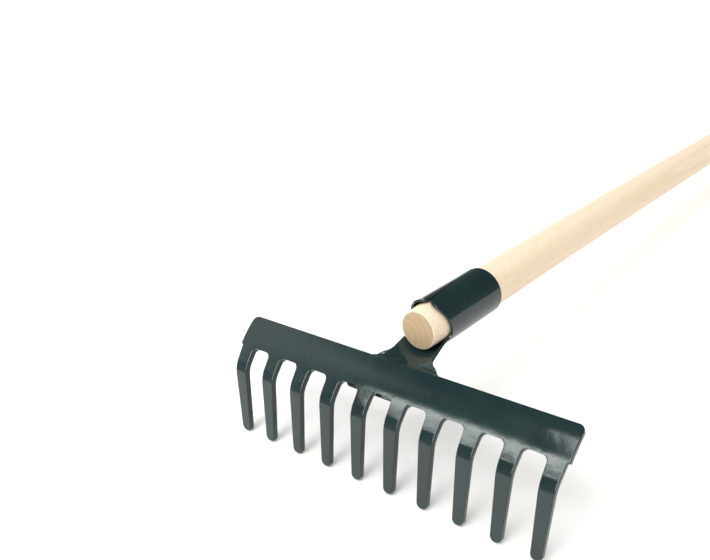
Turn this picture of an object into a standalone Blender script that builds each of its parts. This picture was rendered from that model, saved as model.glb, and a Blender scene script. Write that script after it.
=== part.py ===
"""Garden rake with ten tines stamped from one sheet, a rolled sheet socket and a round wooden handle.

The rake is modelled along its handle and then laid on its tine tips and the end of its handle.
While it is modelled, +Y runs up the handle's axis, +X runs along the plate and +Z is the rake's upper side.
"""

from math import atan2, cos, pi, radians, sin, tan

import bmesh
import bpy
from mathutils import Matrix, Vector

# Fit between pieces that touch
CLEARANCE = 0.0003

# Tine bar: a plate and its tines, stamped from one sheet
BAR_SHEET = 0.004
BAR_EDGE_CHAMFER = 0.0005
TINE_COUNT = 10
TINE_PITCH = 0.026
TINE_ROOT_WIDTH = 0.0108
TINE_TIP_WIDTH = 0.0074
TINE_TIP_RADIUS = 0.0034
TINE_ROOT_LENGTH = 0.0099
TINE_BEND_RADIUS = 0.020
TINE_STRAIGHT_LENGTH = 0.0407
TINE_SLOPE = radians(79.7)
GAP_FILLET = 0.0036
LEFT_TINE_LEAN = 0.0021
PLATE_TOP_Y = 0.0163
PLATE_TOP_Z = -0.0120
PLATE_DEPTH = 0.022
PLATE_TOP_SLOPE = radians(30.5)
PLATE_LOW_SLOPE = radians(48)
PLATE_OVERHANG = 0.0016
PLATE_TOP_CORNER = 0.004
PLATE_LOW_CORNER = 0.0007
PLATE_END_FILLET = 0.0008

# Socket: a flange behind the plate, a trough and a rolled tube
SOCKET_SHEET = 0.0015
TUBE_LOW_Y = 0.048
TUBE_LENGTH = 0.0607
TUBE_MOUTH_CORNER = 0.001
MOUTH_DROP = 0.0025
RIM_RISE = 0.0045
RIM_DROP = 0.001
RIM_LOW_ANGLE = radians(150)
RIM_FILLET = 0.003
RIM_CORNER = 0.006
NECK_HALF_WIDTH = 0.0157
NECK_FILLET = 0.007
NECK_ROLL_POWER = 0.65
NECK_KNEE_LENGTH = 0.004
TROUGH_FLAT_LENGTH = 0.0055
FLANGE_BEND_RADIUS = 0.008
FLANGE_BEND_BELOW_EDGE = 0.0042
FLANGE_HALF_WIDTH = 0.0316
FLANGE_SHOULDER_SLOPE = radians(30)
FLANGE_SHOULDER_CORNER = 0.002
FLANGE_DROP = 0.0018
FLANGE_CORNER = 0.003
FLANGE_CORNER_CUT = 0.0155
SEAM_LOW_ANGLE = radians(173)
SEAM_TOP_ANGLE = radians(200)
SEAM_GAP = 0.0006
RIGHT_FLAP_CORNER_ANGLE = radians(18)
LEFT_FLAP_CORNER_ANGLE = radians(20)

# Handle: a round wooden pole with a tapered lower end
HANDLE_LENGTH = 1.5
HANDLE_RADIUS = 0.0141
HANDLE_FOOT_RADIUS = 0.0125
HANDLE_FOOT_Y = 0.037
HANDLE_FOOT_CHAMFER = 0.0008
HANDLE_FOOT_TAPER_LENGTH = 0.031
HANDLE_END_ROUNDING = 0.009
HANDLE_END_STEPS = 4
HANDLE_BOW = 0.032
HANDLE_SIDES = 32

# Fixing screw in the underside of the tube
SCREW_Y = 0.080
SCREW_SHANK_RADIUS = 0.0019
SCREW_LENGTH = 0.011
SCREW_POINT_LENGTH = 0.004
SCREW_HEAD_RADIUS = 0.0038
SCREW_HEAD_HEIGHT = 0.0022
SCREW_SLOT_WIDTH = 0.001
SCREW_SLOT_DEPTH = 0.001
SCREW_DOME_STEPS = 3
SCREW_SIDES = 20

# Welds along the flange's side edges
WELD_RADIUS = 0.0016
WELD_END_RADIUS = 0.001
WELD_INSET = 0.002
WELD_SIDES = 10

# Fineness of round shapes
CORNER_STEP = radians(18)
BEND_STEP = radians(4.5)
TUBE_STEP = radians(9)
NECK_STEP = 0.0025
HANDLE_STEP = 0.075
WELD_STEP = 0.003

# Points closer than this are one point; turns below the least turn are straight, faces within the flat angle one face
MERGE_DISTANCE = 0.000001
LEAST_TURN = 0.000001
FLAT_ANGLE = radians(0.5)
SHARP_ANGLE = radians(30)

# Turns that bring the tine tips and the handle's end level
LEVELLING_ROUNDS = 5

PAINT = (0.015, 0.035, 0.035, 1)
WOOD = (0.80, 0.62, 0.42, 1)
STEEL = (0.55, 0.55, 0.55, 1)


def clear_scene():
    for old in list(bpy.data.objects):
        bpy.data.objects.remove(old, do_unlink=True)


def collection(name):
    group = bpy.data.collections.new(name)
    bpy.context.scene.collection.children.link(group)
    return group


def material(name, color, roughness, metallic):
    """A Principled material with one colour."""
    made = bpy.data.materials.new(name)
    made.use_nodes = True
    shader = made.node_tree.nodes["Principled BSDF"]
    shader.inputs["Base Color"].default_value = color
    shader.inputs["Roughness"].default_value = roughness
    shader.inputs["Metallic"].default_value = metallic
    return made


def rounded(corners):
    """An outline from (x, y, radius) corners, each rounded by an arc of its radius."""
    points = []
    for i, (x, y, radius) in enumerate(corners):
        corner = Vector((x, y))
        before = Vector(corners[i - 1][:2]) - corner
        after = Vector(corners[(i + 1) % len(corners)][:2]) - corner
        turn = pi - before.angle(after)
        if radius <= 0 or turn < FLAT_ANGLE:
            points.append(corner)
            continue
        before.normalize()
        after.normalize()
        reach = radius * tan(turn / 2)
        start = corner + before * reach
        middle = corner + (before + after).normalized() * (radius / cos(turn / 2))
        side = 1 if before.x * after.y - before.y * after.x < 0 else -1
        steps = max(1, round(turn / CORNER_STEP))
        spoke = start - middle
        for step in range(steps + 1):
            points.append(middle + Matrix.Rotation(side * turn * step / steps, 2) @ spoke)
    return points


def mesh_from_curve(curve, name, group):
    """The curve object as a mesh object with its caps welded on; the curve is removed."""
    bpy.context.view_layer.update()
    evaluated = curve.evaluated_get(bpy.context.evaluated_depsgraph_get())
    mesh = bpy.data.meshes.new_from_object(evaluated)
    place = curve.matrix_world.copy()
    bpy.data.objects.remove(curve, do_unlink=True)
    shape = bmesh.new()
    shape.from_mesh(mesh)
    bmesh.ops.remove_doubles(shape, verts=shape.verts, dist=MERGE_DISTANCE)
    shape.to_mesh(mesh)
    shape.free()
    made = bpy.data.objects.new(name, mesh)
    made.matrix_world = place
    group.objects.link(made)
    return made


def blank(name, outline, holes, thickness, chamfer, group):
    """A flat sheet: its outline lies across in X and along in Y, its upper face at Z = 0."""
    curve = bpy.data.curves.new(name, "CURVE")
    curve.dimensions = "2D"
    curve.fill_mode = "BOTH"
    curve.extrude = thickness / 2 - chamfer
    curve.bevel_depth = chamfer
    curve.bevel_resolution = 0
    curve.offset = -chamfer
    for loop in [outline] + holes:
        spline = curve.splines.new("POLY")
        spline.points.add(len(loop) - 1)
        spline.use_cyclic_u = True
        for point, place in zip(spline.points, loop):
            point.co = (place[0], place[1], 0, 1)
    flat = bpy.data.objects.new(name, curve)
    group.objects.link(flat)
    made = mesh_from_curve(flat, name, group)
    made.data.transform(Matrix.Translation((0, 0, -thickness / 2)))
    return made


def form(sheet, cuts, place):
    """Bends a flat sheet: cuts it along each (point, normal) and moves every point to its place."""
    shape = bmesh.new()
    shape.from_mesh(sheet.data)
    bmesh.ops.dissolve_limit(shape, angle_limit=FLAT_ANGLE, verts=shape.verts, edges=shape.edges)
    for point, normal in cuts:
        whole = shape.verts[:] + shape.edges[:] + shape.faces[:]
        bmesh.ops.bisect_plane(shape, geom=whole, dist=MERGE_DISTANCE, plane_co=point, plane_no=normal)
    bmesh.ops.triangulate(shape, faces=shape.faces)
    for vertex in shape.verts:
        vertex.co = place(*vertex.co)
    shape.to_mesh(sheet.data)
    shape.free()


def finish(made, surface, parent):
    made.data.materials.clear()
    made.data.materials.append(surface)
    made.data.shade_smooth()
    made.data.set_sharp_from_angle(angle=SHARP_ANGLE)
    made.parent = parent


class SideProfile:
    """A line in the YZ plane made of runs, each turning evenly from one slope to the next."""

    def __init__(self, start, slope, runs):
        self.start = start
        self.slope = slope
        self.runs = runs

    def at(self, length):
        """The Y, Z and slope that far along; a length past either end runs straight on."""
        y, z = self.start
        slope = self.slope
        left = length
        for i, (run, end_slope) in enumerate(self.runs):
            last = i == len(self.runs) - 1
            part = left if last or left < run else run
            turn = (end_slope - slope) * part / run
            if abs(turn) < LEAST_TURN:
                y += part * cos(slope)
                z += part * sin(slope)
            else:
                radius = part / turn
                y += radius * (sin(slope + turn) - sin(slope))
                z += radius * (cos(slope) - cos(slope + turn))
            slope += turn
            left -= part
            if left <= 0 and not last:
                break
        return y, z, slope

    def bends(self):
        """The lengths at which the sheet must be cut across to follow the profile."""
        lengths = []
        done = 0
        slope = self.slope
        for run, end_slope in self.runs:
            turn = abs(end_slope - slope)
            if turn > LEAST_TURN:
                steps = max(1, round(turn / BEND_STEP))
                lengths += [done + run * step / steps for step in range(steps + 1)]
            done += run
            slope = end_slope
        return lengths


def tine_centres():
    return [(i - (TINE_COUNT - 1) / 2) * TINE_PITCH for i in range(TINE_COUNT)]


def plate_radius():
    return PLATE_DEPTH / (PLATE_LOW_SLOPE - PLATE_TOP_SLOPE)


def bar_profile():
    """The front face of the tine bar from the plate's top edge to the tine tips."""
    bend = TINE_BEND_RADIUS * (TINE_SLOPE - PLATE_LOW_SLOPE)
    runs = [
        (PLATE_DEPTH, pi + PLATE_LOW_SLOPE),
        (TINE_ROOT_LENGTH, pi + PLATE_LOW_SLOPE),
        (bend, pi + TINE_SLOPE),
        (TINE_STRAIGHT_LENGTH, pi + TINE_SLOPE),
    ]
    return SideProfile((PLATE_TOP_Y, PLATE_TOP_Z), pi + PLATE_TOP_SLOPE, runs)


def bar_outline(length):
    """The flat outline of the tine bar: top edge at Y = 0, tips at Y = -length."""
    centres = tine_centres()
    side = centres[-1] + TINE_ROOT_WIDTH / 2 + PLATE_OVERHANG
    corners = [(-side, 0, PLATE_TOP_CORNER), (side, 0, PLATE_TOP_CORNER), (side, -PLATE_DEPTH, PLATE_LOW_CORNER)]
    for centre in reversed(centres):
        root_fillets = [GAP_FILLET, GAP_FILLET]
        tip = centre
        if centre == centres[-1]:
            root_fillets[0] = PLATE_END_FILLET
        if centre == centres[0]:
            root_fillets[1] = PLATE_END_FILLET
            tip += LEFT_TINE_LEAN
        corners += [
            (centre + TINE_ROOT_WIDTH / 2, -PLATE_DEPTH, root_fillets[0]),
            (tip + TINE_TIP_WIDTH / 2, -length, TINE_TIP_RADIUS),
            (tip - TINE_TIP_WIDTH / 2, -length, TINE_TIP_RADIUS),
            (centre - TINE_ROOT_WIDTH / 2, -PLATE_DEPTH, root_fillets[1]),
        ]
    corners.append((-side, -PLATE_DEPTH, PLATE_LOW_CORNER))
    return rounded(corners)


def make_tine_bar(group, paint, parent):
    profile = bar_profile()
    length = sum(run for run, slope in profile.runs)
    sheet = blank("tine_bar", bar_outline(length), [], BAR_SHEET, BAR_EDGE_CHAMFER, group)

    def place(x, y, z):
        along_y, along_z, slope = profile.at(-y)
        return Vector((x, along_y + z * sin(slope), along_z - z * cos(slope)))

    cuts = [((0, -length_done, 0), (0, 1, 0)) for length_done in profile.bends()]
    form(sheet, cuts, place)
    finish(sheet, paint, parent)
    return sheet


def tube_radius():
    """The tube's inside radius, a clearance away from the handle."""
    return HANDLE_RADIUS + CLEARANCE


def handle_radius(y):
    """The handle is even down to its foot, where it tapers to the foot's radius."""
    share = max(HANDLE_FOOT_Y + HANDLE_FOOT_TAPER_LENGTH - y, 0) / HANDLE_FOOT_TAPER_LENGTH
    return HANDLE_RADIUS + (HANDLE_FOOT_RADIUS - HANDLE_RADIUS) * share


def socket_profile():
    """The upper face of the socket's sheet along its middle, from the flange's lower edge to the tube's mouth.

    The flange lies a clearance behind the plate; past its bend the sheet runs straight to the tube's floor.
    """
    back = BAR_SHEET + CLEARANCE
    front_radius = plate_radius()
    back_radius = front_radius - back
    centre_y = PLATE_TOP_Y + front_radius * sin(PLATE_TOP_SLOPE)
    centre_z = PLATE_TOP_Z - front_radius * cos(PLATE_TOP_SLOPE)
    bend_slope = PLATE_TOP_SLOPE + FLANGE_BEND_BELOW_EDGE / back_radius
    arm = back_radius - FLANGE_BEND_RADIUS
    bend_y = centre_y - arm * sin(bend_slope)
    bend_z = centre_z + arm * cos(bend_slope)
    away_y = TUBE_LOW_Y - bend_y
    away_z = -tube_radius() - bend_z
    straight = (away_y ** 2 + away_z ** 2 - FLANGE_BEND_RADIUS ** 2) ** 0.5
    neck_slope = atan2(away_z, away_y) - atan2(FLANGE_BEND_RADIUS, straight)
    start_y = centre_y - back_radius * sin(PLATE_LOW_SLOPE) - FLANGE_DROP * cos(PLATE_LOW_SLOPE)
    start_z = centre_z + back_radius * cos(PLATE_LOW_SLOPE) - FLANGE_DROP * sin(PLATE_LOW_SLOPE)
    knee = NECK_KNEE_LENGTH
    runs = [
        (FLANGE_DROP, PLATE_LOW_SLOPE),
        (back_radius * (PLATE_LOW_SLOPE - bend_slope), bend_slope),
        (FLANGE_BEND_RADIUS * (bend_slope - neck_slope), neck_slope),
        (straight - knee / 2, neck_slope),
        (knee, 0),
        (TUBE_LENGTH - knee / 2, 0),
    ]
    return SideProfile((start_y, start_z), PLATE_LOW_SLOPE, runs)


def socket_stations(profile):
    """Lengths along the socket's profile: the plate's top edge, the trough's start, the tube's lower rim, the mouth."""
    lengths = [run for run, slope in profile.runs]
    bend_end = sum(lengths[:3])
    edge = sum(lengths[:2]) + FLANGE_BEND_BELOW_EDGE
    low_rim = sum(lengths[:4]) + lengths[4] / 2
    return edge, bend_end + TROUGH_FLAT_LENGTH, low_rim, sum(lengths)


def socket_outline(edge, low_rim, mouth):
    """The flat outline of the socket: flange at the bottom, neck, then the two flaps that roll into the tube.

    The rim comes down from the neck along both flaps, which meet in a seam on top of the tube. The mouth lies
    lower at the seam than at the underside.
    """
    radius = tube_radius()
    rim = low_rim - RIM_DROP
    shoulder = edge + (FLANGE_HALF_WIDTH - NECK_HALF_WIDTH) * tan(FLANGE_SHOULDER_SLOPE)
    return rounded([
        (-FLANGE_HALF_WIDTH, 0, FLANGE_CORNER),
        (FLANGE_HALF_WIDTH - FLANGE_CORNER_CUT, 0, FLANGE_CORNER),
        (FLANGE_HALF_WIDTH, FLANGE_CORNER_CUT, FLANGE_CORNER),
        (FLANGE_HALF_WIDTH, edge, FLANGE_SHOULDER_CORNER),
        (NECK_HALF_WIDTH, shoulder, NECK_FILLET),
        (NECK_HALF_WIDTH, low_rim + RIM_RISE, RIM_FILLET),
        (radius * RIM_LOW_ANGLE, rim, RIM_CORNER),
        (radius * SEAM_LOW_ANGLE, rim, radius * RIGHT_FLAP_CORNER_ANGLE),
        (radius * SEAM_TOP_ANGLE, mouth - MOUTH_DROP, TUBE_MOUTH_CORNER),
        (0, mouth, 0),
        (radius * (SEAM_TOP_ANGLE - 2 * pi) + SEAM_GAP, mouth - MOUTH_DROP, TUBE_MOUTH_CORNER),
        (radius * (SEAM_LOW_ANGLE - 2 * pi) + SEAM_GAP, rim, radius * LEFT_FLAP_CORNER_ANGLE),
        (-radius * RIM_LOW_ANGLE, rim, RIM_CORNER),
        (-NECK_HALF_WIDTH, low_rim + RIM_RISE, RIM_FILLET),
        (-NECK_HALF_WIDTH, shoulder, NECK_FILLET),
        (-FLANGE_HALF_WIDTH, edge, FLANGE_SHOULDER_CORNER),
    ])


def circle(x, y, radius, sides):
    return [(x + radius * cos(2 * pi * i / sides), y + radius * sin(2 * pi * i / sides)) for i in range(sides)]


def make_socket(group, paint, parent):
    profile = socket_profile()
    edge, trough, low_rim, mouth = socket_stations(profile)
    hole = circle(0, low_rim + SCREW_Y - TUBE_LOW_Y, SCREW_SHANK_RADIUS + CLEARANCE, SCREW_SIDES)
    sheet = blank("socket", socket_outline(edge, low_rim, mouth), [hole], SOCKET_SHEET, 0, group)

    def place(x, y, z):
        along_y, along_z, slope = profile.at(y)
        share = min(max((y - trough) / (low_rim - trough), 0), 1) ** NECK_ROLL_POWER
        across, rise = x, z
        if share > 0:
            curve_radius = tube_radius() / share
            angle = x / curve_radius
            spoke = curve_radius - z
            across = spoke * sin(angle)
            rise = curve_radius - spoke * cos(angle)
        return Vector((across, along_y - rise * sin(slope), along_z + rise * cos(slope)))

    cuts = [((0, length, 0), (0, 1, 0)) for length in profile.bends()]
    rows = round((low_rim - trough) / NECK_STEP)
    cuts += [((0, trough + (low_rim - trough) * i / rows, 0), (0, 1, 0)) for i in range(rows + 1)]
    step = tube_radius() * TUBE_STEP
    columns = round(max(SEAM_TOP_ANGLE, 2 * pi - SEAM_LOW_ANGLE) / TUBE_STEP)
    cuts += [((step * i, 0, 0), (1, 0, 0)) for i in range(-columns, columns + 1)]
    form(sheet, cuts, place)
    finish(sheet, paint, parent)
    return sheet


def handle_stations():
    """The handle's (distance along the axis, radius) from the foot to the rounded upper end."""
    end_y = HANDLE_FOOT_Y + HANDLE_LENGTH
    mouth_y = TUBE_LOW_Y + TUBE_LENGTH
    full_y = end_y - HANDLE_END_ROUNDING
    stations = [
        (HANDLE_FOOT_Y, HANDLE_FOOT_RADIUS - HANDLE_FOOT_CHAMFER),
        (HANDLE_FOOT_Y + HANDLE_FOOT_CHAMFER, handle_radius(HANDLE_FOOT_Y + HANDLE_FOOT_CHAMFER)),
        (TUBE_LOW_Y, handle_radius(TUBE_LOW_Y)),
        (HANDLE_FOOT_Y + HANDLE_FOOT_TAPER_LENGTH, handle_radius(HANDLE_FOOT_Y + HANDLE_FOOT_TAPER_LENGTH)),
    ]
    steps = round((full_y - mouth_y) / HANDLE_STEP)
    stations += [(mouth_y + (full_y - mouth_y) * i / steps, HANDLE_RADIUS) for i in range(steps + 1)]
    for i in range(1, HANDLE_END_STEPS + 1):
        angle = pi / 2 * i / HANDLE_END_STEPS
        core = HANDLE_RADIUS - HANDLE_END_ROUNDING
        stations.append((full_y + HANDLE_END_ROUNDING * sin(angle), core + HANDLE_END_ROUNDING * cos(angle)))
    return stations


def handle_bow(y):
    """How far the handle's middle stands to the right at y: it is straight in the tube and bows evenly above it."""
    mouth_y = TUBE_LOW_Y + TUBE_LENGTH
    free = HANDLE_FOOT_Y + HANDLE_LENGTH - mouth_y
    return HANDLE_BOW * (max(y - mouth_y, 0) / free) ** 2


def make_handle(group, cutters, wood, parent):
    curve = bpy.data.curves.new("handle", "CURVE")
    curve.dimensions = "3D"
    curve.bevel_depth = HANDLE_RADIUS
    curve.bevel_resolution = (HANDLE_SIDES - 4) // 2
    curve.use_fill_caps = True
    stations = handle_stations()
    spline = curve.splines.new("POLY")
    spline.points.add(len(stations) - 1)
    for point, (y, radius) in zip(spline.points, stations):
        point.co = (handle_bow(y), y, 0, 1)
        point.radius = radius / HANDLE_RADIUS
    pole = bpy.data.objects.new("handle", curve)
    group.objects.link(pole)
    handle = mesh_from_curve(pole, "handle", group)
    finish(handle, wood, parent)

    depth = SCREW_LENGTH + CLEARANCE
    seat = screw_seat()
    bpy.ops.mesh.primitive_cylinder_add(
        vertices=SCREW_SIDES,
        radius=SCREW_SHANK_RADIUS + CLEARANCE,
        depth=2 * depth,
        location=(0, SCREW_Y, seat),
    )
    pilot = bpy.context.object
    pilot.name = "screw_pilot"
    pilot.hide_render = True
    pilot.display_type = "WIRE"
    pilot.parent = parent
    for home in list(pilot.users_collection):
        home.objects.unlink(pilot)
    cutters.objects.link(pilot)
    cut = handle.modifiers.new("screw_pilot", "BOOLEAN")
    cut.operation = "DIFFERENCE"
    cut.object = pilot
    return handle


def screw_seat():
    """The height of the face under the screw's head, a clearance below the tube."""
    return -(tube_radius() + SOCKET_SHEET + CLEARANCE)


def make_fixing_screw(group, cutters, steel, parent):
    """A dome head screw turned about Z, its point up and its slot in the lower face."""
    profile = [
        (0, SCREW_LENGTH),
        (SCREW_SHANK_RADIUS, SCREW_LENGTH - SCREW_POINT_LENGTH),
        (SCREW_SHANK_RADIUS, 0),
        (SCREW_HEAD_RADIUS, 0),
    ]
    dome = SCREW_HEAD_HEIGHT / 2
    for i in range(SCREW_DOME_STEPS):
        angle = pi / 2 * i / SCREW_DOME_STEPS
        profile.append((SCREW_HEAD_RADIUS * cos(angle), -dome * (1 + sin(angle))))
    profile.append((0, -SCREW_HEAD_HEIGHT))
    mesh = bpy.data.meshes.new("fixing_screw")
    edges = [(i, i + 1) for i in range(len(profile) - 1)]
    mesh.from_pydata([(x, 0, z) for x, z in profile], edges, [])
    screw = bpy.data.objects.new("fixing_screw", mesh)
    group.objects.link(screw)
    screw.location = (0, SCREW_Y, screw_seat())
    turn = screw.modifiers.new("turn", "SCREW")
    turn.steps = SCREW_SIDES
    turn.render_steps = SCREW_SIDES
    turn.use_merge_vertices = True
    turn.merge_threshold = 0.00001
    slot_floor = screw_seat() - SCREW_HEAD_HEIGHT + SCREW_SLOT_DEPTH
    bpy.ops.mesh.primitive_cube_add(size=1, location=(0, SCREW_Y, slot_floor - SCREW_HEAD_HEIGHT / 2))
    slot = bpy.context.object
    slot.name = "screw_slot"
    slot.scale = (3 * SCREW_HEAD_RADIUS, SCREW_SLOT_WIDTH, SCREW_HEAD_HEIGHT)
    slot.hide_render = True
    slot.display_type = "WIRE"
    slot.parent = parent
    for home in list(slot.users_collection):
        home.objects.unlink(slot)
    cutters.objects.link(slot)
    cut = screw.modifiers.new("slot", "BOOLEAN")
    cut.operation = "DIFFERENCE"
    cut.object = slot
    mesh.materials.append(steel)
    screw.parent = parent
    return screw


def make_weld_bead(name, side, group, paint, parent):
    """A bead in the corner between the flange's side edge and the plate's back."""
    front = bar_profile()
    depth = BAR_SHEET + CLEARANCE + WELD_RADIUS
    low = WELD_INSET if side < 0 else FLANGE_CORNER_CUT - FLANGE_DROP + WELD_INSET
    x = side * (FLANGE_HALF_WIDTH + CLEARANCE + WELD_RADIUS)
    curve = bpy.data.curves.new(name, "CURVE")
    curve.dimensions = "3D"
    curve.bevel_depth = WELD_RADIUS
    curve.bevel_resolution = (WELD_SIDES - 4) // 2
    curve.use_fill_caps = True
    length = PLATE_DEPTH - WELD_INSET - low
    steps = max(2, round(length / WELD_STEP))
    spline = curve.splines.new("POLY")
    spline.points.add(steps)
    for i, point in enumerate(spline.points):
        y, z, slope = front.at(WELD_INSET + length * i / steps)
        point.co = (x, y - depth * sin(slope), z + depth * cos(slope), 1)
        point.radius = WELD_END_RADIUS / WELD_RADIUS if i in (0, steps) else 1
    bead = bpy.data.objects.new(name, curve)
    group.objects.link(bead)
    made = mesh_from_curve(bead, name, group)
    finish(made, paint, parent)
    return made


def lay_down(stand, bar, handle):
    """Turns the rake about X until tine tips and handle end lie level, then centres it on the floor."""
    tips = [vertex.co for vertex in bar.data.vertices]
    pole = [vertex.co for vertex in handle.data.vertices]
    tilt = 0
    for _ in range(LEVELLING_ROUNDS):
        turned = Matrix.Rotation(tilt, 3, "X")
        front = min((turned @ point for point in tips), key=lambda point: point.z)
        back = min((turned @ point for point in pole), key=lambda point: point.z)
        tilt -= atan2(back.z - front.z, back.y - front.y)
    turned = Matrix.Rotation(tilt, 3, "X")
    placed = [turned @ point for point in tips + pole]
    stand.rotation_euler = (tilt, 0, 0)
    stand.location = (
        -(min(point.x for point in placed) + max(point.x for point in placed)) / 2,
        -(min(point.y for point in placed) + max(point.y for point in placed)) / 2,
        -min(point.z for point in placed),
    )


def main():
    clear_scene()
    parts = collection("garden_rake")
    cutters = collection("cutters")
    paint = material("green_gloss_paint", PAINT, 0.25, 0)
    wood = material("pale_wood", WOOD, 0.6, 0)
    steel = material("zinc_plated_steel", STEEL, 0.35, 1)
    stand = bpy.data.objects.new("stand", None)
    parts.objects.link(stand)
    bar = make_tine_bar(parts, paint, stand)
    make_socket(parts, paint, stand)
    handle = make_handle(parts, cutters, wood, stand)
    make_fixing_screw(parts, cutters, steel, stand)
    make_weld_bead("weld_bead_left", -1, parts, paint, stand)
    make_weld_bead("weld_bead_right", 1, parts, paint, stand)
    lay_down(stand, bar, handle)


main()
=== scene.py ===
"""Garden rake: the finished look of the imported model, laid out as a Blender add-on.

The pieces are modelled along the handle, as a maker would lay them out: +Y runs up the handle, +X along the tine
bar and +Z is the rake's upper side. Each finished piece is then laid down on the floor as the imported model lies.
"""

from math import atan2, cos, pi, radians, sin, tan

import bmesh
import bpy
from bpy.props import FloatProperty, FloatVectorProperty, IntProperty, PointerProperty, StringProperty
from mathutils import Matrix, Vector


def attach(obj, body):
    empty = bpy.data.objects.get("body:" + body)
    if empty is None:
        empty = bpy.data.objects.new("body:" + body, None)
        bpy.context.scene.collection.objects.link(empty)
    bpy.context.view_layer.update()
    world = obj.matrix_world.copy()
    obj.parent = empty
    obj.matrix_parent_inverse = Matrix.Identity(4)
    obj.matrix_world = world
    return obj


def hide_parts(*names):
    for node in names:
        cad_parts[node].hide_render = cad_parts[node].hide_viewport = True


bl_info = {
    "name": "Garden Rake",
    "version": (1, 0, 0),
    "blender": (4, 5, 0),
    "location": "View3D > Sidebar > Garden Rake",
    "description": "Models and finishes a ten-tine garden rake with a wooden handle",
    "category": "Object",
}

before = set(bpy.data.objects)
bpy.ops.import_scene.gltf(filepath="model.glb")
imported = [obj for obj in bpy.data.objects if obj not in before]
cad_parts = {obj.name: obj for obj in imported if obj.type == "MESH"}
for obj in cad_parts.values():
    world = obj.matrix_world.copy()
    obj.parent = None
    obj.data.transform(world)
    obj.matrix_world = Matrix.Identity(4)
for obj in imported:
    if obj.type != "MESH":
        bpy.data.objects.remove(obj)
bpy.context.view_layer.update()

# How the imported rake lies: turned by this about X, then moved
LYING_TURN = -0.04504823684692383
LYING_PLACE = Vector((0, -0.7563837170600891, 0.08289621025323868))

MERGE_DISTANCE = 0.000001
TOUCH = 0.00001

# Steps of a rounded corner of the socket's blank, an even number, and the step in its middle
ARC_STEPS = 8
MIDDLE = ARC_STEPS // 2

# The inputs of a Map Range node
RANGE = ("From Min", "From Max", "To Min", "To Max")


def size(name, description, default):
    """A length that a user can change."""
    return FloatProperty(name=name, description=description, default=default, unit="LENGTH", precision=4)


def slope(name, description, degrees):
    """An angle that a user can change."""
    return FloatProperty(name=name, description=description, default=radians(degrees), unit="ROTATION")


def colour(name, description, code):
    """An sRGB hex colour that a user can change."""
    return StringProperty(name=name, description=description + ", sRGB hex", default=code)


class TineBarSizes(bpy.types.PropertyGroup):
    sheet: size("Sheet", "Thickness of the steel", 0.004)
    pitch: size("Pitch", "From one tine to the next", 0.026)
    tines: IntProperty(name="Tines", description="How many tines the bar has", default=10, min=2)
    root_width: size("Root width", "Width of a tine at the plate", 0.0108)
    tip_width: size("Tip width", "Width of a tine at its tip", 0.0074)
    tip_radius: size("Tip radius", "Rounding of a tine's tip", 0.0034)
    gap_radius: size("Gap radius", "Rounding at the top of a gap", 0.0036)
    plate_depth: size("Plate depth", "From the top edge to the gaps", 0.022)
    overhang: size("Overhang", "Plate beyond the end tines", 0.0016)
    top_radius: size("Top corner", "Rounding of the plate's top corners", 0.004)
    low_radius: size("Low corner", "Rounding of the plate's low corners", 0.0007)
    end_radius: size("End fillet", "Rounding beside the end tines", 0.0008)
    root_length: size("Root length", "From the gaps to the bend", 0.0099)
    bend_radius: size("Bend radius", "Radius of the tines' bend", 0.020)
    straight: size("Straight length", "From the bend to the tips", 0.0407)
    top_slope: slope("Top slope", "Slope of the plate at its top edge", 30.5)
    low_slope: slope("Low slope", "Slope of the plate at the gaps", 48)
    tine_slope: slope("Tine slope", "Slope of the tines below the bend", 79.7)
    lean: size("Lean", "How far the left tine's tip leans in", 0.0021)
    top_y: size("Top edge Y", "Place of the top edge", 0.0163)
    top_z: size("Top edge Z", "Height of the top edge", -0.0120)
    edge_radius: size("Edge radius", "Rounding of the painted edges", 0.0007)


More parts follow.
